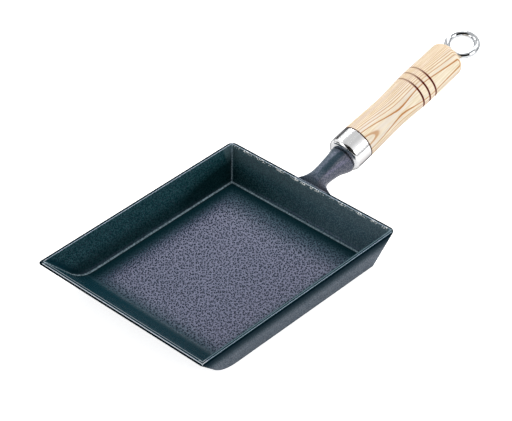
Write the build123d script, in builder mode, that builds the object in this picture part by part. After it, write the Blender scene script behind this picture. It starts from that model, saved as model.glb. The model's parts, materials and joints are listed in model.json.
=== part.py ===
from build123d import *
import os
from math import cos, radians, sin, tan

# Tray, measured over the outside of the rim
rim_length = 180.8
rim_width = 150.0
tray_height = 27.7
wall_thickness = 3.0
floor_thickness = 4.75

# How far the walls lean out from upright, in degrees
side_lean = 17.4
back_lean = 20.8
front_lean = 43.6

# Curve that carries the floor up into the flared front wall
front_bend_inner = 25.0
front_bend_outer = 30.0

# Rounding of the casting
back_corner_outer = 5.0
back_corner_inner = 2.2
base_edge_round = 2.2
floor_edge_round = 2.6
rim_edge_round = 1.1

# Line of the handle: it rises from the middle of the back rim
handle_rise = 13.1
handle_root_drop = 1.2

# Neck, cast in one with the back wall
neck_length = 30.8
neck_root_half_width = 21.0
neck_root_half_height = 8.0
neck_root_cover = 0.9
neck_root_lead = 0.4
neck_lead_share = 0.93
neck_waist_radius = 6.9
neck_end_radius = 10.0
neck_end_drop = 1.3
neck_end_round = 1.5
# Where the neck spreads into the wall: station, width towards the root's, height and drop against the waist
neck_flare_shares = (
    (0.07, 0.44, 0.88, 0.42),
    (0.19, 0.06, 0.96, 0.05),
)
# From the waist to the end: station, size from the waist's to the end's, and drop
neck_ring_shares = (
    (0.34, 0.0, 0.0),
    (0.64, 0.3, 0.35),
    (0.83, 0.72, 1.3),
    (1.0, 1.0, 1.0),
)

# Ferrule, a drawn steel cup
ferrule_radius = 13.0
ferrule_wall = 1.0
ferrule_length = 15.3
ferrule_face_radius = 9.6
ferrule_shoulder = 2.7
ferrule_hole_radius = 3.0
ferrule_back_round = 0.3
# Room between the ferrule and the wood inside it: round it, and at its front end
tenon_fit = 0.05
tenon_end_gap = 0.5

# Wooden grip, turned to a waist and a fuller back end
grip_length = 99.6
grip_waist_radius = 12.2
grip_belly_radius = 13.45
grip_tail_radius = 13.2
grip_waist_share = 0.33
grip_belly_share = 0.65
grip_tail_share = 0.9
grip_tail_round = 5.0
grip_front_chamfer = 0.3
grip_bore_radius = 3.2
tenon_chamfer = 3.2

# Three burned grooves round the fuller part of the grip
groove_count = 3
groove_pitch = 6.4
groove_width = 1.1
groove_depth = 0.5
groove_setback = 31.3

# Long bolt with its hanging eye, a ring turned a little off upright
wire_radius = 2.2
eye_radius = 10.4
eye_turn_rest = 8.0
shank_radius = 2.1
thread_radius = 2.5
thread_pitch = 0.8
thread_turns = 16
thread_length = 20.0
thread_fit = 0.05
hole_spare_depth = 2.5
bolt_tip_chamfer = 0.6

# Washer between the eye and the end of the wood
washer_radius = 6.0
washer_thickness = 1.0
washer_fit = 0.1
washer_round = 0.25
eye_seat_gap = 0.1

# How far a cutting solid runs past the faces that it cuts
overrun = 5.0

rim_back = rim_length / 2
rim_side = rim_width / 2

os.makedirs("parts", exist_ok=True)


def wall_shift(height, lean):
    """How far a leaning wall has moved in at a height, measured from the rim."""
    return (tray_height - height) * tan(radians(lean))


def tray_block(low, high, inset, front_bend, corner_round, edge_round):
    """The tray's outline as a solid block between two heights, drawn in by the wall thickness."""
    back_inset = inset / cos(radians(back_lean))
    front_inset = inset / cos(radians(front_lean))
    side_inset = inset / cos(radians(side_lean))
    side_points = [
        (front_inset - rim_back + wall_shift(low, front_lean), low),
        (rim_back - back_inset - wall_shift(low, back_lean), low),
        (rim_back - back_inset - wall_shift(high, back_lean), high),
        (front_inset - rim_back + wall_shift(high, front_lean), high),
    ]
    end_points = [
        (side_inset - rim_side + wall_shift(low, side_lean), low),
        (rim_side - side_inset - wall_shift(low, side_lean), low),
        (rim_side - side_inset - wall_shift(high, side_lean), high),
        (side_inset - rim_side + wall_shift(high, side_lean), high),
    ]
    with BuildPart() as block:
        # Seen from the side, with the curved front
        with BuildSketch(Plane.XZ):
            with BuildLine():
                Polyline(*side_points, close=True)
            make_face()
            front_foot = vertices().group_by(Axis.Y)[0].sort_by(Axis.X)[0]
            fillet(front_foot, radius=front_bend)
        extrude(amount=rim_width, both=True)
        # Seen from the end, with both side walls leaning out
        with BuildSketch(Plane.YZ):
            with BuildLine():
                Polyline(*end_points, close=True)
            make_face()
        extrude(amount=rim_length, both=True, mode=Mode.INTERSECT)
        # Upright corners at the back, where the handle side is
        rising = block.edges().filter_by(lambda edge: edge.bounding_box().size.Z > (high - low) / 2)
        fillet(rising.group_by(Axis.X)[-1], radius=corner_round)
        # The foot of the walls and the front corners, which run into each other
        low_edges = block.edges().filter_by_position(Axis.Z, low, low)
        foot = low_edges.filter_by(lambda edge: edge.center().X > block.part.center().X - rim_back / 2)
        front = block.edges().filter_by(
            lambda edge: edge.bounding_box().size.Z > floor_thickness / 2 and edge.center().X < 0
        )
        fillet(foot + front, radius=edge_round)
    return block.part


def handle_point(station, rise=0.0):
    """A point at a station along the handle's line, and off it at right angles."""
    along = (cos(radians(handle_rise)), sin(radians(handle_rise)))
    return (
        rim_back + station * along[0] - rise * along[1],
        0,
        tray_height - handle_root_drop + station * along[1] + rise * along[0],
    )


def handle_plane(station, rise=0.0):
    """A plane square to the handle's line, with its normal towards the hanging eye."""
    return Plane(
        origin=handle_point(station, rise),
        x_dir=(0, 1, 0),
        z_dir=(cos(radians(handle_rise)), 0, sin(radians(handle_rise))),
    )


handle_axis = Axis(handle_point(0), handle_plane(0).z_dir)
# Upright plane through the handle, with its own X along the handle and its own Y square to it
handle_side = Plane(origin=handle_point(0), x_dir=handle_axis.direction, z_dir=(0, -1, 0))

# Stations along the handle, from the back rim to the hanging eye
thread_reach = thread_pitch * thread_turns
ferrule_front = neck_length
ferrule_back = ferrule_front + ferrule_length
grip_back = ferrule_back + grip_length
washer_back = grip_back + washer_thickness
eye_station = washer_back + eye_seat_gap + wire_radius + eye_radius

# Casting: tray, neck and the tapped hole for the bolt
outer_block = tray_block(0, tray_height, 0, front_bend_outer, back_corner_outer, base_edge_round)
cavity_top = tray_height + overrun
cavity_block = tray_block(
    floor_thickness, cavity_top, wall_thickness, front_bend_inner, back_corner_inner, floor_edge_round
)
root_depth = neck_root_cover + neck_root_half_height
# Outer face of the back wall, where the neck leaves it
root_x = rim_back - root_depth * sin(radians(back_lean))
root_z = tray_height - root_depth * cos(radians(back_lean))
neck_root_plane = Plane(
    origin=(root_x, 0, root_z),
    x_dir=(0, 1, 0),
    z_dir=(cos(radians(back_lean)), 0, -sin(radians(back_lean))),
)

with BuildPart() as pan_body:
    add(outer_block)
    add(cavity_block, mode=Mode.SUBTRACT)
    fillet(pan_body.edges().filter_by_position(Axis.Z, tray_height, tray_height), radius=rim_edge_round)
    # Neck, drawn through rounded sections from the wall to its end
    with BuildSketch(neck_root_plane.offset(-wall_thickness / 2)):
        Ellipse(neck_root_half_width, neck_root_half_height)
    with BuildSketch(neck_root_plane.offset(neck_root_lead)):
        Ellipse(neck_lead_share * neck_root_half_width, neck_lead_share * neck_root_half_height)
    for station_share, width_share, height_share, drop_share in neck_flare_shares:
        with BuildSketch(handle_plane(station_share * neck_length, -drop_share * neck_waist_radius)):
            Ellipse(
                neck_waist_radius + width_share * (neck_root_half_width - neck_waist_radius),
                height_share * neck_waist_radius,
            )
    for station_share, size_share, drop_share in neck_ring_shares:
        with BuildSketch(handle_plane(station_share * neck_length, -drop_share * neck_end_drop)):
            Circle(neck_waist_radius + size_share * (neck_end_radius - neck_waist_radius))
    loft()
    fillet(pan_body.faces().sort_by(handle_axis)[-1].edges(), radius=neck_end_round)
    with BuildSketch(handle_plane(neck_length)):
        Circle(thread_radius + thread_fit)
    extrude(amount=-(thread_reach + hole_spare_depth), mode=Mode.SUBTRACT)
pan_body.part.label = "pan_body"
export_step(pan_body.part, "parts/pan_body.step")


# Ferrule: its front bears on the end of the neck, with a rounded shoulder out to the skirt
with BuildPart() as ferrule:
    with BuildSketch(handle_side):
        with BuildLine():
            skirt_start = ferrule_front + ferrule_shoulder
            outer_shoulder = TangentArc(
                (ferrule_front, ferrule_face_radius), (skirt_start, ferrule_radius), tangent=(0, 1)
            )
            inner_shoulder = TangentArc(
                (ferrule_front + ferrule_wall, ferrule_face_radius),
                (skirt_start, ferrule_radius - ferrule_wall),
                tangent=(0, 1),
            )
            Polyline(
                outer_shoulder @ 1,
                (ferrule_back, ferrule_radius),
                (ferrule_back, ferrule_radius - ferrule_wall),
                inner_shoulder @ 1,
            )
            Polyline(
                inner_shoulder @ 0,
                (ferrule_front + ferrule_wall, ferrule_hole_radius),
                (ferrule_front, ferrule_hole_radius),
                outer_shoulder @ 0,
            )
        make_face()
        fillet(vertices().group_by(Axis.X)[-1].sort_by(Axis.Y)[-1], radius=ferrule_back_round)
    revolve(axis=handle_axis)
ferrule.part.label = "ferrule"
export_step(ferrule.part, "parts/ferrule.step")


# Wooden grip: stations and radii that its turned outline reaches level with the handle's line
grip_nodes = [
    (ferrule_back + grip_front_chamfer, ferrule_radius),
    (ferrule_back + grip_waist_share * grip_length, grip_waist_radius),
    (ferrule_back + grip_belly_share * grip_length, grip_belly_radius),
    (ferrule_back + grip_tail_share * grip_length, grip_tail_radius),
]
grip_spans = list(zip(grip_nodes, grip_nodes[1:]))


def grip_radius(station):
    """Radius of the turned outline at a station."""
    for (start, start_radius), (end, end_radius) in grip_spans:
        if station <= end:
            share = (station - start) / (end - start)
            return start_radius + (end_radius - start_radius) * share**2 * (3 - 2 * share)
    return grip_tail_radius


with BuildPart() as handle_grip:
    with BuildSketch(handle_side):
        with BuildLine():
            tenon_front = ferrule_front + ferrule_wall + tenon_end_gap
            tenon_radius = ferrule_radius - ferrule_wall - tenon_fit
            Polyline(
                (tenon_front, grip_bore_radius),
                (tenon_front, tenon_radius - tenon_chamfer),
                (tenon_front + tenon_chamfer, tenon_radius),
                (ferrule_back, tenon_radius),
                (ferrule_back, ferrule_radius - grip_front_chamfer),
                grip_nodes[0],
            )
            for (start, start_radius), (end, end_radius) in grip_spans:
                third = (end - start) / 3
                Bezier(
                    (start, start_radius),
                    (start + third, start_radius),
                    (end - third, end_radius),
                    (end, end_radius),
                )
            Polyline(
                grip_nodes[-1],
                (grip_back, grip_tail_radius),
                (grip_back, grip_bore_radius),
                (tenon_front, grip_bore_radius),
            )
        make_face()
        fillet(vertices().group_by(Axis.X)[-1].sort_by(Axis.Y)[-1], radius=grip_tail_round)
        # Burned grooves, half round, counted from the back end
        for groove in range(groove_count):
            groove_station = grip_back - groove_setback - groove * groove_pitch
            with Locations((groove_station, grip_radius(groove_station))):
                Ellipse(groove_width / 2, groove_depth, mode=Mode.SUBTRACT)
    revolve(axis=handle_axis)
handle_grip.part.label = "handle_grip"
export_step(handle_grip.part, "parts/handle_grip.step")


# Washer, which rides on the shank of the bolt
with BuildPart() as eye_washer:
    with BuildSketch(handle_plane(grip_back)):
        Circle(washer_radius)
        Circle(shank_radius + washer_fit, mode=Mode.SUBTRACT)
    extrude(amount=washer_thickness)
    washer_rims = eye_washer.edges().filter_by(GeomType.CIRCLE).group_by(SortBy.RADIUS)[-1]
    fillet(washer_rims, radius=washer_round)
eye_washer.part.label = "eye_washer"
export_step(eye_washer.part, "parts/eye_washer.step")


# Eye bolt: a closed ring on a long shank, with a rolled thread at its far end
eye_normal = handle_side.y_dir * cos(radians(eye_turn_rest)) - Vector(0, 1, 0) * sin(radians(eye_turn_rest))
eye_plane = Plane(origin=handle_point(eye_station), x_dir=handle_axis.direction, z_dir=eye_normal)
bolt_tip = ferrule_front - thread_reach

with BuildPart() as eye_bolt:
    with Locations(eye_plane):
        Torus(eye_radius, wire_radius)
    with BuildSketch(handle_plane(eye_station - eye_radius)):
        Circle(shank_radius)
    extrude(amount=bolt_tip - eye_station + eye_radius)
    with BuildSketch(handle_plane(bolt_tip)):
        Circle(thread_radius)
    extrude(amount=thread_length)
    chamfer(eye_bolt.faces().sort_by(handle_axis)[0].edges(), length=bolt_tip_chamfer)
eye_bolt.part.label = "eye_bolt"
export_step(eye_bolt.part, "parts/eye_bolt.step")
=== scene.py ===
import json
import math
from types import SimpleNamespace

import bpy
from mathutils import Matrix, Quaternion, Vector

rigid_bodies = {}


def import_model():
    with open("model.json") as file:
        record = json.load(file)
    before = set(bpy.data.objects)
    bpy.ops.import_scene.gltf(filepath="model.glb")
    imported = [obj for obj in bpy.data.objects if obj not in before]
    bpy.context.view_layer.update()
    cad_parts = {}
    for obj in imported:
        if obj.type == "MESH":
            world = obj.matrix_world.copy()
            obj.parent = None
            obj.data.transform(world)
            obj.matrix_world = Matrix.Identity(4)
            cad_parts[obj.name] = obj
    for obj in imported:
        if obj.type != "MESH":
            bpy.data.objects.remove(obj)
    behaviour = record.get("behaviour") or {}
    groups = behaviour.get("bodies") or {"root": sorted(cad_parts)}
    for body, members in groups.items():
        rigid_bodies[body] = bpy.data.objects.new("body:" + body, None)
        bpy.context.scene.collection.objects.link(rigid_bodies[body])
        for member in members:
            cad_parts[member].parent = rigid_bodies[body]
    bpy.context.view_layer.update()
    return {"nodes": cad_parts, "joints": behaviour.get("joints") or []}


for leftover in list(bpy.data.objects):
    bpy.data.objects.remove(leftover)

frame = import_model()

# Camera, as it stood for the photograph
camera_place = Vector((-0.75852, -0.79154, 0.89543))
camera_aim = Vector((0.05079, 0.01458, 0.0200))
camera_roll = math.radians(-1.835)
camera_lens = 152.13
sensor_width = 36.0

# Line of the handle, on which the eye unscrews: it starts at the back rim and rises towards the eye
unscrewing = next(joint for joint in frame["joints"] if joint["name"] == "eye_unscrew")
handle_line = Vector(unscrewing["axis"])
handle_rise = math.atan2(handle_line.z, handle_line.x)
root_to_eye = 0.1594
handle_root = Vector(unscrewing["pos_m"]) - root_to_eye * handle_line

# Along the handle's line, from its root
ferrule_back = 0.0461
groove_stations = (0.1016, 0.1080, 0.1144)


def screen(red, green, blue):
    """A colour as it is read off a screen, 0 to 255, turned into the shader's own scale."""
    parts = [value / 255 for value in (red, green, blue)]
    return (*[v / 12.92 if v <= 0.04045 else ((v + 0.055) / 1.055) ** 2.4 for v in parts], 1.0)


# Shader node helpers


def fill_inputs(tree, made, inputs):
    """Links each input that is given as another node's output, and sets the others."""
    for name, value in inputs.items():
        if isinstance(value, bpy.types.NodeSocket):
            tree.links.new(value, made.inputs[name])
        else:
            made.inputs[name].default_value = value


def node(tree, kind, inputs=None, **settings):
    """A shader node with its settings and inputs."""
    made = tree.nodes.new("ShaderNode" + kind)
    for name, value in settings.items():
        setattr(made, name, value)
    fill_inputs(tree, made, inputs or {})
    return made


def calc(tree, operation, *values):
    """The result of a Math node."""
    return node(tree, "Math", dict(enumerate(values)), operation=operation).outputs[0]


def join(tree, operation, values):
    """One result from many values, taken two at a time."""
    result = values[0]
    for value in values[1:]:
        result = calc(tree, operation, result, value)
    return result


def times(tree, *values):
    """The product of the values."""
    return join(tree, "MULTIPLY", values)


def most(tree, *values):
    """The largest of the values."""
    return join(tree, "MAXIMUM", values)


def least(tree, *values):
    """The smallest of the values."""
    return join(tree, "MINIMUM", values)


def minus(tree, first, second):
    """The first value less the second."""
    return calc(tree, "SUBTRACT", first, second)


def unsigned(tree, value):
    """The value without its sign."""
    return calc(tree, "ABSOLUTE", value)


def straight(tree, value, slope, start):
    """A straight line: the slope times the value, and the start added."""
    return calc(tree, "MULTIPLY_ADD", value, slope, start)


def ease(tree, value, start, end, low=0.0, high=1.0):
    """Runs smoothly from low to high while the value goes from start to end."""
    inputs = {"Value": value, "From Min": start, "From Max": end, "To Min": low, "To Max": high}
    return node(tree, "MapRange", inputs, interpolation_type="SMOOTHSTEP").outputs["Result"]


def band(tree, value, rise_start, rise_end, fall_start, fall_end):
    """1 between two places, fading out on each side of them."""
    return times(tree, ease(tree, value, rise_start, rise_end), ease(tree, value, fall_end, fall_start))


def blend_value(tree, share, first, second):
    """Mixes two values by a share from 0 to 1."""
    return node(tree, "Mix", {0: share, 2: first, 3: second}, data_type="FLOAT").outputs[0]


def blend_colour(tree, share, first, second):
    """Mixes two colours by a share from 0 to 1."""
    return node(tree, "Mix", {0: share, 6: first, 7: second}, data_type="RGBA").outputs[2]


def noise(tree, place, scale, detail=2.0, roughness=0.5):
    """The value of a noise texture."""
    inputs = {"Vector": place, "Scale": scale, "Detail": detail, "Roughness": roughness}
    return node(tree, "TexNoise", inputs).outputs[0]


def stretched(tree, place, scales):
    """A place with each of its coordinates scaled by its own number."""
    return node(tree, "VectorMath", {0: place, 1: scales}, operation="MULTIPLY").outputs[0]


def bumped(tree, height, strength, distance):
    """The normal of a surface with a fine relief."""
    return node(tree, "Bump", {"Strength": strength, "Distance": distance, "Height": height}).outputs[0]


def new_group(name, inputs, outputs):
    """An empty node group with named sockets. Gives the tree, its input node and its output node."""
    tree = bpy.data.node_groups.new(name, "ShaderNodeTree")
    for socket, (kind, value) in inputs.items():
        made = tree.interface.new_socket(socket, in_out="INPUT", socket_type="NodeSocket" + kind)
        if value is not None:
            made.default_value = value
    for socket, kind in outputs.items():
        tree.interface.new_socket(socket, in_out="OUTPUT", socket_type="NodeSocket" + kind)
    return tree, tree.nodes.new("NodeGroupInput"), tree.nodes.new("NodeGroupOutput")


def use_group(tree, group, inputs):
    """The first output of a node group that is placed in a material."""
    made = tree.nodes.new("ShaderNodeGroup")
    made.node_tree = group
    fill_inputs(tree, made, inputs)
    return made.outputs[0]


def new_material(name):
    """A material with its shader. Gives the material, its node tree and the shader."""
    material = bpy.data.materials.new(name)
    material.use_nodes = True
    tree = material.node_tree
    tree.nodes.clear()
    shader = tree.nodes.new("ShaderNodeBsdfPrincipled")
    output = tree.nodes.new("ShaderNodeOutputMaterial")
    tree.links.new(shader.outputs[0], output.inputs["Surface"])
    return material, tree, shader


def object_place(tree):
    """The place on the piece, in metres."""
    return node(tree, "TexCoord").outputs["Object"]


def handle_place(tree):
    """The place seen from the handle: X along its line from the rim, Y across, Z square to both."""
    inputs = {
        "Vector": object_place(tree),
        "Location": handle_root,
        "Rotation": (0.0, -handle_rise, 0.0),
    }
    return node(tree, "Mapping", inputs, vector_type="TEXTURE").outputs[0]


# Shared effects


def make_smudges():
    """Faint patches left by handling, which change the gloss a little."""
    tree, given, result = new_group(
        "Handling smudges",
        {"Place": ("Vector", None), "Size": ("Float", 0.03), "Amount": ("Float", 0.05)},
        {"Gloss change": "Float"},
    )
    scale = calc(tree, "DIVIDE", 1.0, given.outputs["Size"])
    patches = noise(tree, given.outputs["Place"], scale, 3.0, 0.6)
    change = times(tree, minus(tree, patches, 0.5), given.outputs["Amount"], 2.0)
    tree.links.new(change, result.inputs["Gloss change"])
    return tree


def make_turning_lines():
    """Fine rings left by polishing a turned part, as a height."""
    tree, given, result = new_group(
        "Turning lines",
        {"Place": ("Vector", None), "Lines per metre": ("Float", 4000.0), "Depth": ("Float", 1.0)},
        {"Height": "Float"},
    )
    along = stretched(tree, given.outputs["Place"], (1.0, 0.02, 0.02))
    lines = noise(tree, along, given.outputs["Lines per metre"], 2.0, 0.7)
    tree.links.new(times(tree, lines, given.outputs["Depth"]), result.inputs["Height"])
    return tree


# Cast iron: sizes of the tray

rim_height = 0.0277
rim_breadth = 0.00285
floor_top = 0.00475

# Edge of the cavity at the rim, from the middle of the tray
cavity_side = 0.0718
cavity_back = 0.0871
cavity_front = 0.0860

# How far each wall leans out as it rises
side_lean = math.tan(math.radians(17.4))
back_lean = math.tan(math.radians(20.8))
front_lean = math.tan(math.radians(43.6))

# Where the middle of each wall, and its inside, would come down to the ground
side_middle = 0.06475
back_middle = 0.07828
front_middle = 0.06195
side_inside = 0.0632
back_inside = 0.07667

# Half the blur between the inside and the outside of the walls
wall_blur = 0.0003

# Cast iron: where its parts lie. A pair is the start and the end of a fade, in metres

neck_start = (0.0905, 0.0925)
neck_root_start = (0.0880, 0.0888)
neck_root_side = (0.0165, 0.0125)
neck_clear_of_rim = (0.0915, 0.1015)
# The neck's side with the painted sheen, and its ridge, where a painted dark reflection runs
neck_sheen_side = (-0.0028, -0.0050)
neck_ridge_off_centre = 0.0025
neck_ridge_side = (0.0034, 0.0010)
below_cooking_face = (floor_top - 0.0002, floor_top - 0.0008)
down_to_cooking_face = (floor_top + 0.0011, floor_top + 0.0002)
up_to_rim = (rim_height - 0.0030, rim_height - 0.0012)
top_of_rim = (rim_height - 0.0014, rim_height - 0.0010)
inner_edge_of_rim = (rim_height - 0.0018, rim_height - 0.0010)
under_rim = (0.0278, 0.0270)
# Painted reflection of the floor on the outer walls, fading in from the rim down
outside_from_rim_down = (0.0262, 0.0125)
onto_back_wall = (0.0775, 0.0795)
up_the_back_wall = (0.0150, 0.0240)
from_left_to_right = (0.05, -0.05)
onto_front_slope = (0.0505, 0.0575)
onto_left_rim = (0.0712, 0.0716)
onto_back_rim = (0.0866, 0.0870)
onto_right_rim = (-0.0690, -0.0715)
onto_right_strip = (-0.0695, -0.0715)
onto_front_rim = (-0.0835, -0.0860)
# Front rim, where the painted rim highlights are brighter
bright_front_rim = (-0.0825, -0.0850)

# Cooking face that wear has polished, which also carries a painted sheen: where it ends, and how wide it
# fades
worn_left = (0.0627, 0.018)
worn_right = (0.0650, 0.022)
worn_back = (0.0767, 0.038)
worn_front = (0.0640, 0.021)

# Painted highlight line and painted shade strip along the foot of the walls, as distances in from the wall
foot_highlight = (0.0005, 0.0013, 0.0018, 0.0025)
foot_shade = (0.0020, 0.0024, 0.0045, 0.0135)
corner_line_width = (0.0009, 0.0004)
corner_line_reach = (0.0030, 0.0020)
corner_shade_reach = (0.0040, 0.0020)
corner_blur = (0.0005, -0.0005)

# Painted shade on the walls, darker towards their foot and in the back corners: up to where it rises, and
# how it gathers in the back corners, most in the left one
low_on_wall = (0.0190, 0.0090)
corner_shade_height = (0.0260, 0.0120)
corner_shade_side = (0.018, 0.078)
corner_shade_back = (0.020, 0.055)
deepest_corner_shade = 0.82

# Painted highlight lines and painted shade over the rim, as shares of its breadth from the cavity's edge
inner_rim_line = (-0.02, 0.05, 0.16, 0.24)
outer_rim_line = (0.62, 0.68, 0.80, 0.86)
dull_rim_strip = (0.34, 0.42, 0.56, 0.64)
dark_edge_share = (0.80, 0.88)
right_line_shift_share = 0.13
far_edge_shift_share = 0.48

# White flecks along the inner edge of the back rim: their places from left to right, and the edge's own
# line
fleck_places = (
    0.0594, 0.0566, 0.0434, 0.0264, 0.0129, 0.0046,
    -0.0030, -0.0067, -0.0286, -0.0447, -0.0577, -0.0672,
)
flecked_edge = 0.0870
flecked_edge_width = (0.0007, 0.0003)
fleck_reach = (0.0050, 0.0005)
flecking_beside_flecks = (0.03, 0.17)
flecks_showing = (0.66, 0.71)

# Cast grain: cells to the metre, and how close the floor's pits lie along its diagonal and across it
floor_pits_per_metre = 700.0
wall_pits_per_metre = 740.0
peel_per_metre = 1100.0
speckle_per_metre = 1200.0
crumbs_per_metre = 1100.0
tint_per_metre = 16.0
pits_along_diagonal = 0.43
pits_across_diagonal = 0.707

# Pits: from the rim to the middle of one, how unevenly they lie, the weakest, how dark and how deep
pit_rim_to_middle = (0.43, 0.14)
floor_disorder = 0.9
wall_disorder = 0.7
weakest_pit = 0.7
floor_pit_darkening = 0.98
wall_pit_darkening = 0.7
grain_depth = 0.0004

# Parts that pits and peel have in the relief, and how strong it is inside, outside, and on the rim and the
# painted foot highlight
pits_in_relief = -0.30
peel_in_relief = 0.45
relief_inside = 0.55
more_relief_outside = 0.35
relief_on_rim_and_foot = 0.15

# Roughness of the coat, and what pits and the band under the rim add to it
polished_roughness = 0.24
unpolished_roughness = 0.55
outside_roughness = 0.60
rim_roughness = 0.80
rim_line_roughness = 0.20
pit_adds = 0.5
dark_band_adds = 0.35

# Specular level of the coat, and of its matt places, and the lavender tint of its gloss
coat_shine = 0.25
matt_shine = 0.01
lavender_gloss = (0.64, 0.54, 1.0, 1.0)

# Colours of the coat
teal_deep = screen(0, 39, 45)
teal = screen(3, 45, 51)
teal_speckle = screen(52, 88, 94)
# Painted sheen on the back wall, greying it towards the right, and painted light near its top
back_wall_sheen_grey = screen(50, 78, 88)
back_wall_sheen_speckle = screen(84, 108, 116)
back_wall_top_light = screen(96, 112, 116)
# Painted shade on the front slope
front_slope_shade_teal = screen(8, 42, 52)
# Bluer polished middle of the cooking face: partly wear, partly a painted sheen
polished_sheen_blue = screen(4, 36, 58)
# Painted light on the neck: lit on its left, a painted sheen on its right, and a painted dark reflection
# along its ridge
neck_lit_grey = screen(68, 82, 94)
neck_lit_speckle = screen(98, 110, 121)
neck_sheen_grey = screen(78, 84, 95)
neck_sheen_speckle = screen(112, 115, 124)
neck_ridge_shade_teal = screen(18, 48, 54)
# Painted reflection of the white floor on the lower outer walls
floor_reflection_grey = screen(72, 86, 96)
floor_reflection_speckle = screen(106, 114, 122)
pit_black = screen(2, 14, 20)
# Painted shade under the rim
under_rim_shade_teal = screen(4, 30, 38)
foot_shade_teal = screen(0, 36, 42)
# Painted shade towards the foot of the walls and in their back corners
corner_shade_black = screen(0, 12, 14)
# Painted highlight along the foot of the walls
foot_highlight_grey = screen(124, 144, 153)
# Painted highlights on the rim, brighter on the front rim
rim_highlight_grey = screen(108, 128, 136)
front_rim_highlight_grey = screen(185, 192, 198)
# Painted shade on the rim's outer edge
rim_shade_black = screen(0, 20, 28)
fleck_white = screen(246, 250, 248)


# Cast iron: masks


def across_rim(tree, x, y):
    """How far out over the rim a place is: 0 at the cavity's edge, 1 at the outside of the tray."""
    side = minus(tree, unsigned(tree, y), cavity_side)
    back = minus(tree, x, cavity_back)
    front = straight(tree, x, -1.0, -cavity_front)
    return calc(tree, "DIVIDE", most(tree, side, back, front), rim_breadth)


def past_wall_middle(tree, x, y, z):
    """1 on the outside of the tray's leaning walls, 0 inside the tray."""
    side = minus(tree, unsigned(tree, y), straight(tree, z, side_lean, side_middle))
    back = minus(tree, x, straight(tree, z, back_lean, back_middle))
    front = minus(tree, times(tree, x, -1.0), straight(tree, z, front_lean, front_middle))
    return ease(tree, most(tree, side, back, front), -wall_blur, wall_blur)


def wall_gaps(tree, x, y, z):
    """How far in from the side walls and from the back wall a place is."""
    side_gap = minus(tree, straight(tree, z, side_lean, side_inside), unsigned(tree, y))
    back_gap = minus(tree, straight(tree, z, back_lean, back_inside), x)
    return side_gap, back_gap


def foot_highlight_line(tree, side_gap, back_gap):
    """The painted highlight line at the foot of the side and back walls, and up the corners between them.
    """
    gap = least(tree, side_gap, back_gap)
    apart = unsigned(tree, minus(tree, side_gap, back_gap))
    corner = times(tree, ease(tree, apart, *corner_line_width), ease(tree, gap, *corner_line_reach), 0.7)
    return most(tree, band(tree, gap, *foot_highlight), corner)


def wall_corner_shade(tree, x, y, z, side_gap, back_gap):
    """Painted shade on the walls: darker towards their foot and the back, and on the back wall to the
    left.
    """
    on_side = ease(tree, minus(tree, side_gap, back_gap), *corner_blur)
    low = ease(tree, z, *low_on_wall)
    beside_corner = times(tree, ease(tree, z, *corner_shade_height), ease(tree, x, *corner_shade_side))
    side_corner_shade = least(tree, straight(tree, low, 0.6, beside_corner), deepest_corner_shade)
    back_corner_shade = times(tree, low, ease(tree, y, *corner_shade_back, 0.2, 0.5))
    corner_shade = blend_value(tree, on_side, back_corner_shade, side_corner_shade)
    return times(tree, corner_shade, ease(tree, least(tree, side_gap, back_gap), *corner_shade_reach))


def polished_and_sheen_middle(tree, x, y):
    """How far the cooking face is polished by wear and carries a painted sheen: 1 in the middle, fading
    out towards its edges.
    """
    inward = ((y, -1, worn_left), (y, 1, worn_right), (x, -1, worn_back), (x, 1, worn_front))
    shares = [straight(tree, way, sign / fade, edge / fade) for way, sign, (edge, fade) in inward]
    return ease(tree, least(tree, *shares), 0.0, 1.0)


def rim_highlights(tree, over_rim, far_rim, x, y, z):
    """Painted highlights on the rim: a thin line along its inner edge, and along its near outer edges."""
    moved = minus(tree, over_rim, ease(tree, y, *onto_right_rim, 0.0, right_line_shift_share))
    right_boldness = ease(tree, y, *onto_right_rim, 1.0, 0.55)
    front_boldness = ease(tree, x, *onto_front_rim, 1.0, 0.5)
    inner = times(tree, band(tree, moved, *inner_rim_line), least(tree, right_boldness, front_boldness))
    outer = times(tree, band(tree, over_rim, *outer_rim_line), minus(tree, 1.0, far_rim))
    return times(tree, most(tree, inner, outer), ease(tree, z, *top_of_rim))


def rim_edge_shade(tree, over_rim, far_rim, y):
    """Where the rim has painted shade and is dull: its outer edge, and the strip between the two painted
    highlight lines on the right.
    """
    outward = straight(tree, far_rim, far_edge_shift_share, over_rim)
    edge = ease(tree, outward, *dark_edge_share)
    strip = times(tree, band(tree, over_rim, *dull_rim_strip), ease(tree, y, *onto_right_strip, 0.0, 0.7))
    return most(tree, edge, strip)


def back_rim_flecks(tree, place, x, y, z):
    """White flecks along the inner edge of the back rim."""
    beside_edge = ease(tree, unsigned(tree, minus(tree, x, flecked_edge)), *flecked_edge_width)
    at_edge = times(tree, beside_edge, ease(tree, z, *inner_edge_of_rim))
    nearest = least(tree, *[unsigned(tree, minus(tree, y, fleck)) for fleck in fleck_places])
    cluster = ease(tree, nearest, *fleck_reach, *flecking_beside_flecks)
    crumbs = noise(tree, place, crumbs_per_metre, 1.0, 0.6)
    return times(tree, at_edge, ease(tree, calc(tree, "ADD", crumbs, cluster), *flecks_showing))


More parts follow.
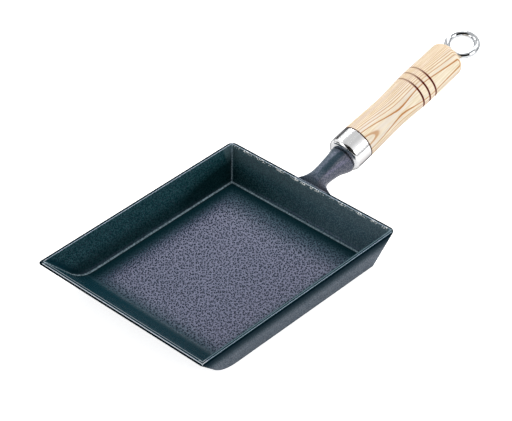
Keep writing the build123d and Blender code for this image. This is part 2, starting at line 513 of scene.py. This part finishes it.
def parts_of_pan(tree, place):
    """Coordinates on the casting, and a mask from 0 to 1 for each of its parts."""
    x, y, z = node(tree, "SeparateXYZ", {0: place}).outputs
    root = times(tree, ease(tree, x, *neck_root_start), ease(tree, unsigned(tree, y), *neck_root_side))
    neck = most(tree, ease(tree, x, *neck_start), root)
    tray = minus(tree, 1.0, neck)
    beneath = ease(tree, z, *below_cooking_face)
    outside = times(tree, most(tree, past_wall_middle(tree, x, y, z), beneath), tray)
    inside = minus(tree, tray, outside)
    toward_front = minus(tree, times(tree, z, -front_lean), x)
    # The lower outer walls, where a painted reflection of the floor is laid
    low_outside = times(tree, outside, ease(tree, z, *outside_from_rim_down))
    return SimpleNamespace(
        x=x,
        y=y,
        z=z,
        neck=neck,
        tray=tray,
        outside=outside,
        inside=inside,
        low_outside=low_outside,
        # painted shade on the outer wall just under the rim
        shaded_band=times(tree, ease(tree, z, *under_rim), minus(tree, outside, low_outside)),
        rim=times(tree, ease(tree, z, *up_to_rim), tray),
        floor=times(tree, ease(tree, z, *down_to_cooking_face), inside),
        front_slope=times(tree, inside, ease(tree, toward_front, *onto_front_slope, 0.0, 0.9)),
        back_wall=times(tree, inside, ease(tree, x, *onto_back_wall)),
    )


def wear_and_painted_light(tree, pan, place):
    """Where wear has polished the coat, and where painted highlights, painted shade and white flecks lie
    on it, each from 0 to 1.
    """
    over_rim = across_rim(tree, pan.x, pan.y)
    far_rim = most(tree, ease(tree, pan.y, *onto_left_rim), ease(tree, pan.x, *onto_back_rim))
    side_gap, back_gap = wall_gaps(tree, pan.x, pan.y, pan.z)
    shade = band(tree, least(tree, side_gap, back_gap), *foot_shade)
    corner_shade = wall_corner_shade(tree, pan.x, pan.y, pan.z, side_gap, back_gap)
    return SimpleNamespace(
        rim_highlights=rim_highlights(tree, over_rim, far_rim, pan.x, pan.y, pan.z),
        rim_shade=times(tree, pan.rim, rim_edge_shade(tree, over_rim, far_rim, pan.y)),
        foot_highlight=times(tree, foot_highlight_line(tree, side_gap, back_gap), pan.inside),
        foot_shade=times(tree, shade, pan.floor),
        corner_shade=times(tree, corner_shade, pan.inside),
        polish_and_sheen=polished_and_sheen_middle(tree, pan.x, pan.y),
        white_flecks=back_rim_flecks(tree, place, pan.x, pan.y, pan.z),
    )


def cast_grain(tree, pan, wear_and_light, place):
    """Pits and orange peel of the cast surface, and the fine speckle of its coat."""
    along = times(tree, calc(tree, "ADD", pan.x, pan.y), pits_along_diagonal)
    across = times(tree, minus(tree, pan.x, pan.y), pits_across_diagonal)
    spread = node(tree, "CombineXYZ", {0: along, 1: across}).outputs[0]
    floor_inputs = {"Vector": spread, "Scale": floor_pits_per_metre, "Randomness": floor_disorder}
    floor_cells = node(tree, "TexVoronoi", floor_inputs, voronoi_dimensions="2D").outputs
    wall_inputs = {"Vector": place, "Scale": wall_pits_per_metre, "Randomness": wall_disorder}
    wall_cells = node(tree, "TexVoronoi", wall_inputs).outputs
    cells = blend_value(tree, pan.floor, wall_cells["Distance"], floor_cells["Distance"])
    uneven = ease(tree, floor_cells["Color"], 0.2, 0.9, weakest_pit, 1.0)
    strength = blend_value(tree, pan.floor, weakest_pit, uneven)
    pits = times(tree, ease(tree, cells, *pit_rim_to_middle), pan.tray, strength)
    floor_adds = floor_pit_darkening - wall_pit_darkening
    darkening = most(tree, straight(tree, pan.floor, floor_adds, wall_pit_darkening), pan.outside)
    plain = minus(tree, 1.0, most(tree, pan.rim, wear_and_light.foot_highlight))
    return SimpleNamespace(
        pits=pits,
        shown_pits=times(tree, pits, darkening, plain),
        plain=plain,
        peel=noise(tree, place, peel_per_metre, 0.0),
        speckle=ease(tree, noise(tree, place, speckle_per_metre, 1.0), 0.42, 0.62),
    )


# Cast iron: the coat


def tray_colour(tree, pan, wear_and_light, speckle, place):
    """Teal of the tray, with painted light: greyer on the back wall towards the right from a painted sheen
    and lighter near its top, darker on the front slope from painted shade, and blue where it is polished,
    partly a painted sheen.
    """
    dark_teal = blend_colour(tree, noise(tree, place, tint_per_metre), teal_deep, teal)
    fresh = blend_colour(tree, times(tree, speckle, 0.7), dark_teal, teal_speckle)
    grey = blend_colour(tree, speckle, back_wall_sheen_grey, back_wall_sheen_speckle)
    # painted sheen greying the back wall towards the right, and painted light high on it
    greyed = times(tree, pan.back_wall, ease(tree, pan.y, *from_left_to_right, 0.1, 0.9))
    high = times(tree, pan.back_wall, ease(tree, pan.z, *up_the_back_wall, 0.0, 0.30))
    walls = blend_colour(tree, high, blend_colour(tree, greyed, fresh, grey), back_wall_top_light)
    # painted shade on the front slope
    sloped = blend_colour(tree, pan.front_slope, walls, front_slope_shade_teal)
    # bluer where polished: partly wear, partly a painted sheen
    return blend_colour(tree, times(tree, pan.floor, wear_and_light.polish_and_sheen, 0.75), sloped, polished_sheen_blue)


def neck_painted_light(tree, pan, speckle):
    """Grey of the neck with painted light: a bluer lit grey on its left, a paler painted sheen on its
    right, and a painted dark teal reflection along its ridge.
    """
    left = blend_colour(tree, speckle, neck_lit_grey, neck_lit_speckle)
    sheen = blend_colour(tree, speckle, neck_sheen_grey, neck_sheen_speckle)
    sides = blend_colour(tree, ease(tree, pan.y, *neck_sheen_side), left, sheen)
    off_ridge = unsigned(tree, calc(tree, "ADD", pan.y, neck_ridge_off_centre))
    clear_of_rim = ease(tree, pan.x, *neck_clear_of_rim, 0.0, 0.8)
    ridge = times(tree, ease(tree, off_ridge, *neck_ridge_side), clear_of_rim)
    return blend_colour(tree, ridge, sides, neck_ridge_shade_teal)


def coat_colour(tree, pan, wear_and_light, grain, place):
    """Colour of the coat: tray and neck first, then each mark over the one before."""
    tray = tray_colour(tree, pan, wear_and_light, grain.speckle, place)
    colour = blend_colour(tree, pan.neck, tray, neck_painted_light(tree, pan, grain.speckle))
    # Painted reflection of the floor, for the lower outer walls
    outside = blend_colour(tree, grain.speckle, floor_reflection_grey, floor_reflection_speckle)
    foot_highlight_share = times(tree, wear_and_light.foot_highlight, ease(tree, grain.peel, 0.35, 0.6, 0.4, 1.0))
    bright_front = ease(tree, pan.x, *bright_front_rim)
    marks = (
        # painted reflection of the floor on the lower outer walls
        (pan.low_outside, outside),
        (grain.shown_pits, pit_black),
        # painted shade under the rim
        (pan.shaded_band, under_rim_shade_teal),
        (wear_and_light.foot_shade, foot_shade_teal),
        # painted shade towards the foot of the walls and in the back corners
        (wear_and_light.corner_shade, corner_shade_black),
        # painted highlight along the foot of the walls, broken up by the peel
        (foot_highlight_share, foot_highlight_grey),
        # painted highlights on the rim
        (wear_and_light.rim_highlights, blend_colour(tree, bright_front, rim_highlight_grey, front_rim_highlight_grey)),
        # painted shade on the rim
        (wear_and_light.rim_shade, rim_shade_black),
        (wear_and_light.white_flecks, fleck_white),
    )
    for share, mark in marks:
        colour = blend_colour(tree, share, colour, mark)
    return colour


def coat_roughness(tree, pan, wear_and_light, grain):
    """Glossy where wear has polished the coat, duller in pits, on the outside and on the rim."""
    polished = most(tree, wear_and_light.polish_and_sheen, minus(tree, 1.0, pan.floor))
    smooth = ease(tree, polished, 1.0, 0.0, polished_roughness, unpolished_roughness)
    pitted = straight(tree, grain.shown_pits, pit_adds, smooth)
    outside = straight(tree, pan.shaded_band, dark_band_adds, times(tree, pan.outside, outside_roughness))
    dull = most(tree, pitted, outside, times(tree, pan.rim, rim_roughness))
    return blend_value(tree, wear_and_light.rim_highlights, dull, rim_line_roughness)


def coat_height(tree, pan, grain):
    """Relief of the casting: pits and the peel between them, coarser outside and on the neck."""
    coarseness = straight(tree, most(tree, pan.outside, pan.neck), more_relief_outside, relief_inside)
    relief = straight(tree, grain.pits, pits_in_relief, times(tree, grain.peel, peel_in_relief))
    off_rim_and_foot = straight(tree, grain.plain, 1.0 - relief_on_rim_and_foot, relief_on_rim_and_foot)
    return times(tree, relief, coarseness, off_rim_and_foot)


def coat_specular(tree, pan, wear_and_light):
    """Specular level of the coat: next to none where it is dark and matt, full along the rim's lines."""
    shaded = most(tree, times(tree, wear_and_light.foot_shade, 0.7), wear_and_light.corner_shade, times(tree, pan.shaded_band, 0.6))
    matt = most(tree, shaded, pan.front_slope, wear_and_light.rim_shade, times(tree, pan.rim, 0.5))
    shine = straight(tree, matt, matt_shine - coat_shine, coat_shine)
    return most(tree, shine, times(tree, wear_and_light.rim_highlights, coat_shine))


def make_iron_coat(smudges):
    """Dark coat on the cast iron: teal in shade, with a lavender gloss and an orange-peel grain."""
    material, tree, shader = new_material("iron_coat")
    place = object_place(tree)
    pan = parts_of_pan(tree, place)
    wear_and_light = wear_and_painted_light(tree, pan, place)
    grain = cast_grain(tree, pan, wear_and_light, place)
    gloss_change = use_group(tree, smudges, {"Place": place, "Size": 0.035, "Amount": 0.05})
    shader.inputs["Specular IOR Level"].default_value = coat_shine
    inputs = {
        "Base Color": coat_colour(tree, pan, wear_and_light, grain, place),
        "Roughness": calc(tree, "ADD", gloss_change, coat_roughness(tree, pan, wear_and_light, grain)),
        "Normal": bumped(tree, coat_height(tree, pan, grain), 1.0, grain_depth),
        "Specular IOR Level": coat_specular(tree, pan, wear_and_light),
        "Specular Tint": lavender_gloss,
    }
    fill_inputs(tree, shader, inputs)
    return material


# Metal fittings

# Tint that keeps the edges of mirrored metal dark
dark_edge_tint = (0.03, 0.03, 0.04, 1.0)

# Plating of the eye: its roughness, and its patches to the metre
plating_roughness = 0.06
plating_patches_per_metre = 250.0


def make_turned_steel(name, smudges, turning_lines, finish):
    """Steel polished in a lathe: a smudged gloss, and fine rings in its shade and its relief."""
    material, tree, shader = new_material(name)
    place = handle_place(tree)
    smudge = {"Place": place, "Size": finish.smudge_size, "Amount": finish.smudge_amount}
    gloss_change = use_group(tree, smudges, smudge)
    rings = use_group(tree, turning_lines, {"Place": place, "Lines per metre": finish.lines_per_metre})
    inputs = {
        "Base Color": blend_colour(tree, rings, finish.dark, finish.light),
        "Roughness": calc(tree, "ADD", gloss_change, finish.roughness),
        "Normal": bumped(tree, rings, finish.relief, finish.ring_depth),
        "Metallic": 1.0,
        "Specular Tint": dark_edge_tint,
    }
    fill_inputs(tree, shader, inputs)
    return material


def make_ferrule_steel(smudges, turning_lines):
    """Bright polished steel with faint turning lines."""
    finish = SimpleNamespace(
        smudge_size=0.012,
        smudge_amount=0.05,
        lines_per_metre=5000.0,
        roughness=0.17,
        relief=0.12,
        ring_depth=0.00002,
        dark=screen(232, 232, 234),
        light=screen(246, 246, 246),
    )
    return make_turned_steel("polished_steel", smudges, turning_lines, finish)


def make_washer_steel(smudges, turning_lines):
    """Plain steel of the washer, duller than the ferrule."""
    finish = SimpleNamespace(
        smudge_size=0.004,
        smudge_amount=0.08,
        lines_per_metre=3000.0,
        roughness=0.3,
        relief=0.3,
        ring_depth=0.00003,
        dark=screen(205, 206, 208),
        light=screen(226, 226, 228),
    )
    return make_turned_steel("washer_steel", smudges, turning_lines, finish)


def make_eye_plating(smudges):
    """Bright plating on the hanging eye and its bolt."""
    material, tree, shader = new_material("bright_plating")
    place = handle_place(tree)
    gloss_change = use_group(tree, smudges, {"Place": place, "Size": 0.006, "Amount": 0.03})
    patches = noise(tree, place, plating_patches_per_metre)
    inputs = {
        "Base Color": blend_colour(tree, patches, screen(196, 199, 203), screen(212, 214, 216)),
        "Roughness": calc(tree, "ADD", gloss_change, plating_roughness),
        "Metallic": 1.0,
        "Specular Tint": dark_edge_tint,
    }
    fill_inputs(tree, shader, inputs)
    return material


# Wooden grip

# Distance of the grip from the heart of the tree, and the breadth of a ring
heart_distance = 0.045
ring_spacing = 0.0012

# Turn of the flat-sawn face at the ferrule, and how far it turns on along the grip
flat_face_turn = math.radians(144)
flat_face_twist = 3.5

# How the rings run out of the surface towards the tail, and where the outermost one lies
run_out = 0.016
outermost_ring = 0.06018

# Rings crowd towards the heart: the power of their spacing, its slope, and the outermost ring's number
ring_crowding = 1.2
ring_slope = -0.725
outermost_number = 40.566

# How far the rings wander, and the scales of the wander, the fibres and the streaks along and across
ring_wander = 0.0009
wander_scales = (9.0, 45.0, 45.0)
fibre_scales = (40.0, 1300.0, 1300.0)
streak_scales = (12.0, 260.0, 260.0)

# Dark late wood in a ring, as shares of the ring: its blush, its fine line, and the line in crowded rings
late_wood_shares = (0.60, 0.90, 0.95, 1.0)
fine_line_shares = (0.74, 0.87, 0.95, 1.0)
crowded_line_shares = (0.50, 0.78, 0.92, 1.0)

# Burned grooves: half their width, that of the scorch beside them, and the side that is burned darkest
groove_half_width = (0.00080, 0.00055)
scorch_half_width = (0.0013, 0.0006)
darkest_burn_turn = math.radians(190)

# Dark seam where the wood meets the ferrule
seam_line = (ferrule_back + 0.0010, ferrule_back + 0.0006)

# Roughness of the bare wood and what a burn adds, its specular level, and its relief
wood_roughness = 0.65
burn_adds = 0.30
wood_shine = 0.2
wood_relief = 0.3
wood_relief_depth = 0.0001
line_in_relief = -0.6

# Colours of the wood
cream_dark = screen(224, 206, 172)
cream_light = screen(244, 232, 212)
streak_grey = screen(225, 215, 206)
blush_tan = screen(224, 176, 116)
ring_brown = screen(180, 120, 54)
scorch_red = screen(190, 104, 82)
burn_brown = screen(92, 12, 2)
seam_brown = screen(70, 40, 24)


def growth_rings(tree, place):
    """A count of the rings, rising towards the bark, closer together near the heart of the tree."""
    x, y, z = node(tree, "SeparateXYZ", {0: place}).outputs
    turn = straight(tree, x, flat_face_twist, flat_face_turn - flat_face_twist * ferrule_back)
    from_heart_y = straight(tree, calc(tree, "COSINE", turn), heart_distance, y)
    from_heart_z = straight(tree, calc(tree, "SINE", turn), heart_distance, z)
    flat = node(tree, "CombineXYZ", {1: from_heart_y, 2: from_heart_z}).outputs[0]
    distance = node(tree, "VectorMath", {0: flat}, operation="LENGTH").outputs["Value"]
    wave = minus(tree, noise(tree, stretched(tree, place, wander_scales), 1.0), 0.5)
    leaning = straight(tree, x, -run_out, run_out * ferrule_back)
    reach = calc(tree, "ADD", distance, straight(tree, wave, ring_wander, leaning))
    inward = calc(tree, "DIVIDE", minus(tree, outermost_ring, reach), ring_spacing)
    crowded = calc(tree, "POWER", most(tree, inward, 0.01), ring_crowding)
    return straight(tree, crowded, ring_slope, outermost_number)


def burned_grooves(tree, place):
    """The three burned grooves, and the scorched wood beside them."""
    x, y, z = node(tree, "SeparateXYZ", {0: place}).outputs
    nearest = least(tree, *[unsigned(tree, minus(tree, x, station)) for station in groove_stations])
    turn = calc(tree, "ARCTAN2", z, y)
    toward_darkest = calc(tree, "COSINE", minus(tree, turn, darkest_burn_turn))
    burn = ease(tree, toward_darkest, -0.35, 0.62, 0.25, 1.0)
    speckle = ease(tree, noise(tree, place, 1500.0), 0.3, 0.6, 0.55, 1.0)
    groove = times(tree, ease(tree, nearest, *groove_half_width), burn)
    scorch = times(tree, ease(tree, nearest, *scorch_half_width), 0.55, burn, speckle)
    return groove, scorch


def ring_lines(tree, rings):
    """The blush and the dark line of each ring, some rings bolder than others."""
    across = calc(tree, "FRACT", rings)
    number = calc(tree, "FLOOR", rings)
    chance = node(tree, "TexWhiteNoise", {"W": number}, noise_dimensions="1D").outputs["Value"]
    outermost = ease(tree, rings, 39.9, 38.9, 0.5, 1.0)
    boldness = times(tree, ease(tree, chance, 0.0, 1.0, 0.6, 1.0), outermost)
    blush = times(tree, band(tree, across, *late_wood_shares), boldness, 0.45)
    in_crowd = ease(tree, rings, 38.0, 35.0, 0.0, 0.85)
    crowded_line = times(tree, band(tree, across, *crowded_line_shares), in_crowd)
    line = times(tree, most(tree, band(tree, across, *fine_line_shares), crowded_line), boldness)
    return blush, line


def make_pale_wood(smudges):
    """Pale open-grained wood, turned and sanded, without lacquer."""
    material, tree, shader = new_material("pale_wood")
    place = handle_place(tree)
    blush, line = ring_lines(tree, growth_rings(tree, place))
    groove, scorch = burned_grooves(tree, place)
    fibres = noise(tree, stretched(tree, place, fibre_scales), 1.0, 2.0, 0.6)
    streaks = ease(tree, noise(tree, stretched(tree, place, streak_scales), 1.0), 0.42, 0.62)
    along = node(tree, "SeparateXYZ", {0: place}).outputs[0]
    colour = blend_colour(tree, ease(tree, fibres, 0.3, 0.7), cream_dark, cream_light)
    marks = (
        (times(tree, streaks, 0.6), streak_grey),
        (blush, blush_tan),
        (line, ring_brown),
        (scorch, scorch_red),
        (groove, burn_brown),
        (ease(tree, along, *seam_line), seam_brown),
    )
    for share, mark in marks:
        colour = blend_colour(tree, share, colour, mark)
    gloss_change = use_group(tree, smudges, {"Place": place, "Size": 0.02, "Amount": 0.08})
    relief = straight(tree, line, line_in_relief, fibres)
    inputs = {
        "Base Color": colour,
        "Roughness": calc(tree, "ADD", gloss_change, straight(tree, groove, burn_adds, wood_roughness)),
        "Normal": bumped(tree, relief, wood_relief, wood_relief_depth),
        "Specular IOR Level": wood_shine,
    }
    fill_inputs(tree, shader, inputs)
    return material


# Studio

# Floor: its size, its middle, and its white glow as reflections show it and as the camera sees it
floor_size = 1.3
floor_middle = (0.05, 0.0, -0.0001)
glow_in_reflections = 0.25
glow_in_view = 0.76

# World: how much it lights the object, where it darkens above and below, and its darkest part
world_light = 0.56
ceiling_height = (0.62, 0.97)
ceiling_brightness = 0.60
horizon_height = (0.0, 0.03)
darkest_part = 0.02

# Dark places that the metal mirrors: where each lies, and where its soft rim starts and ends
dark_places = (
    ((-0.68, -0.66, 0.32), 0.67, 0.73),
    ((-0.745, -0.151, 0.650), 0.90, 0.93),
    ((0.70, -0.71, 0.06), 0.955, 0.975),
    ((-0.72, 0.69, 0.08), 0.955, 0.975),
    ((0.40, 0.91, 0.10), 0.975, 0.990),
)

# Soft lamps: the name, the place, the point that it faces, the width, the height and the power
softboxes = (
    ("back_softbox", (0.95, 0.95, 1.0), (0.0, 0.0, 0.02), 0.72, 0.56, 9.2),
    ("right_softbox", (0.4, -1.5, 0.7), (0.05, 0.0, 0.02), 0.8, 0.6, 10.5),
    ("left_softbox", (-1.45, 0.75, 0.55), (0.05, 0.0, 0.02), 0.8, 0.5, 4.0),
    ("right_strip", (0.81, 0.0, 1.20), (0.0, 0.0, 0.02), 0.32, 0.32, 4.5),
    ("left_strip", (0.0, 0.81, 1.20), (0.0, 0.0, 0.02), 0.32, 0.32, 2.5),
)


def seen_directly(tree):
    """1 for what the camera, a reflection or a clear piece shows, 0 for what lights the object."""
    path = node(tree, "LightPath").outputs
    return most(tree, path["Is Camera Ray"], path["Is Glossy Ray"], path["Is Transmission Ray"])


def seen_by_camera(tree):
    """1 for what the camera sees straight on."""
    return node(tree, "LightPath").outputs["Is Camera Ray"]


def make_floor():
    """A plain pale floor. What is seen of it is lifted to white, and it keeps the object's shadow."""
    bpy.ops.mesh.primitive_plane_add(size=floor_size, location=floor_middle)
    floor = bpy.context.active_object
    floor.name = "studio_floor"
    material, tree, shader = new_material("studio_floor")
    glow = blend_value(tree, seen_by_camera(tree), glow_in_reflections, glow_in_view)
    inputs = {
        "Base Color": (0.9, 0.9, 0.9, 1.0),
        "Roughness": 0.9,
        "Specular IOR Level": 0.0,
        "Emission Color": (1.0, 1.0, 1.0, 1.0),
        "Emission Strength": times(tree, seen_directly(tree), glow),
    }
    fill_inputs(tree, shader, inputs)
    floor.data.materials.append(material)


def make_world():
    """White studio walls under a darker ceiling, with dark places for the metal to mirror."""
    world = bpy.data.worlds.new("studio")
    bpy.context.scene.world = world
    world.use_nodes = True
    tree = world.node_tree
    tree.nodes.clear()
    direction = node(tree, "TexCoord").outputs["Generated"]
    height = node(tree, "SeparateXYZ", {0: direction}).outputs[2]
    ceiling = ease(tree, height, *ceiling_height, 1.0, ceiling_brightness)
    walls = times(tree, ceiling, ease(tree, height, *horizon_height, darkest_part, 1.0))
    for centre, rim_start, rim_end in dark_places:
        toward = node(tree, "VectorMath", {0: direction, 1: centre}, operation="DOT_PRODUCT")
        share = ease(tree, toward.outputs["Value"], rim_start, rim_end, 1.0, darkest_part)
        walls = times(tree, walls, share)
    shown = most(tree, walls, seen_by_camera(tree))
    strength = blend_value(tree, seen_directly(tree), world_light, shown)
    background = node(tree, "Background", {"Color": (1.0, 1.0, 1.0, 1.0), "Strength": strength})
    output = tree.nodes.new("ShaderNodeOutputWorld")
    tree.links.new(background.outputs[0], output.inputs["Surface"])


def add_softbox(name, place, target, width, height, power):
    """A large soft lamp that faces a point."""
    data = bpy.data.lights.new(name, "AREA")
    data.shape = "RECTANGLE"
    data.size = width
    data.size_y = height
    data.energy = power
    lamp = bpy.data.objects.new(name, data)
    lamp.location = place
    lamp.rotation_mode = "QUATERNION"
    lamp.rotation_quaternion = (Vector(target) - Vector(place)).to_track_quat("-Z", "Y")
    bpy.context.scene.collection.objects.link(lamp)


def make_camera():
    """The photograph's camera."""
    data = bpy.data.cameras.new("photo_camera")
    data.lens = camera_lens
    data.sensor_width = sensor_width
    camera = bpy.data.objects.new("photo_camera", data)
    camera.location = camera_place
    camera.rotation_mode = "QUATERNION"
    aim = (camera_aim - camera_place).to_track_quat("-Z", "Y")
    camera.rotation_quaternion = aim @ Quaternion((0.0, 0.0, 1.0), camera_roll)
    bpy.context.scene.collection.objects.link(camera)
    bpy.context.scene.camera = camera


# The scene

make_camera()
make_floor()
make_world()
for softbox in softboxes:
    add_softbox(*softbox)

smudges = make_smudges()
turning_lines = make_turning_lines()
finishes = {
    "pan_body": make_iron_coat(smudges),
    "ferrule": make_ferrule_steel(smudges, turning_lines),
    "handle_grip": make_pale_wood(smudges),
    "eye_bolt": make_eye_plating(smudges),
    "eye_washer": make_washer_steel(smudges, turning_lines),
}
for name, finish in finishes.items():
    frame["nodes"][name].material_slots[0].material = finish

bpy.context.scene.view_settings.view_transform = "Standard"
bpy.context.view_layer.update()
